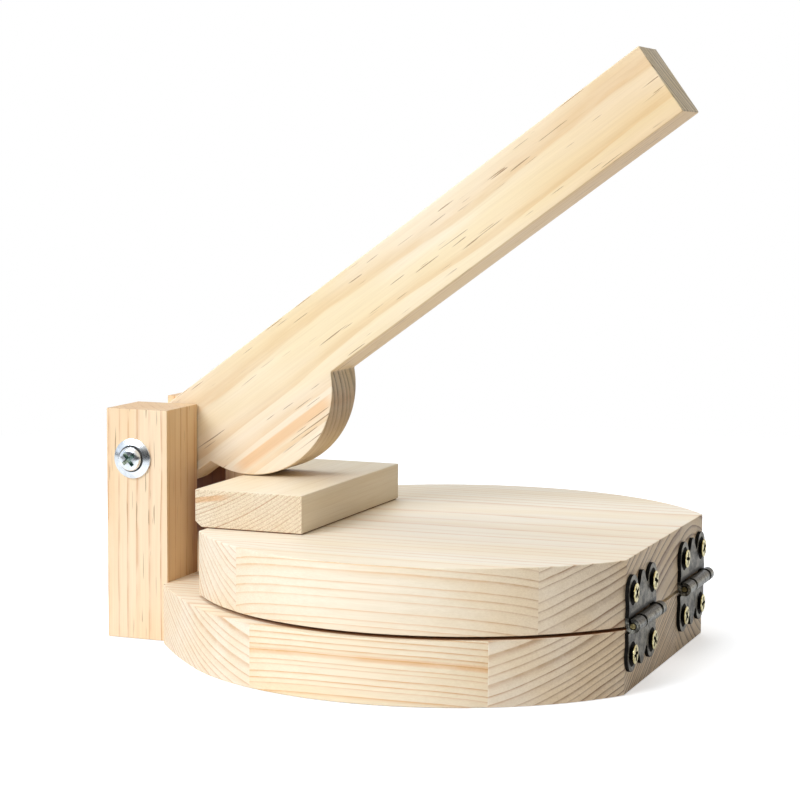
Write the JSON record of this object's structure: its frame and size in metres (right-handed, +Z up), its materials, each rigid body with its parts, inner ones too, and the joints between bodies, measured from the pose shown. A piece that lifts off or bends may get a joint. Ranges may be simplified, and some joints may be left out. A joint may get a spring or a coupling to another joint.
{
  "type": "tortilla press",
  "caption": "Wooden lever press: two hinged round pine boards, squeezed shut by a cam lever that swings on a bolt between two posts.",
  "frame": {"origin": "centre of the lower board's underside, on the surface that the press stands on", "axes": "+Z up, +X from the lever posts to the hinges, Y along the hinge pins"},
  "size_m": [0.1931, 0.18, 0.1972],
  "materials": {
    "board_pine": "bare sanded pine, edge-glued staves",
    "pad_pine": "bare sanded pine, end grain to the front",
    "post_pine": "bare planed pine, grain upright",
    "lever_pine": "bare planed pine, grain along the handle",
    "bolt_zinc": "bright zinc",
    "dark_screw": "dark phosphated steel",
    "hinge_bronze": "dark bronzed sheet steel",
    "hinge_pin_brass": "dull yellow zinc",
    "screw_yellow_zinc": "yellow zinc"
  },
  "bodies": {
    "base": {"base_front_stave": "board_pine", "base_middle_stave": "board_pine", "base_rear_stave": "board_pine", "front_post": "post_pine", "rear_post": "post_pine", "pivot_bolt": "bolt_zinc", "front_washer": "bolt_zinc", "rear_washer": "bolt_zinc", "pivot_nut": "bolt_zinc", "front_post_screws": "dark_screw", "rear_post_screws": "dark_screw", "front_hinge_lower_leaf": "hinge_bronze", "front_hinge_pin": "hinge_pin_brass", "rear_hinge_lower_leaf": "hinge_bronze", "rear_hinge_pin": "hinge_pin_brass", "front_hinge_lower_screws": "screw_yellow_zinc", "rear_hinge_lower_screws": "screw_yellow_zinc"},
    "upper_board": {"upper_front_stave": "board_pine", "upper_middle_stave": "board_pine", "upper_rear_stave": "board_pine", "pressure_pad": "pad_pine", "front_hinge_upper_leaf": "hinge_bronze", "rear_hinge_upper_leaf": "hinge_bronze", "front_hinge_upper_screws": "screw_yellow_zinc", "rear_hinge_upper_screws": "screw_yellow_zinc"},
    "lever": {"lever": "lever_pine"}
  },
  "joints": [
    {"name": "board_open", "type": "hinge", "parent": "base", "child": "upper_board", "pos_m": [0.078, 0, 0.0214], "axis": [0, 1, 0], "range_deg": [0, 31.2]},
    {"name": "lever_swing", "type": "hinge", "parent": "base", "child": "lever", "pos_m": [-0.0999, 0, 0.06119], "axis": [0, -1, 0], "range_deg": [0, 156]}
  ],
  "couplings": [
    {"joint": "lever_swing", "follows": "board_open", "ratio": 5}
  ]
}
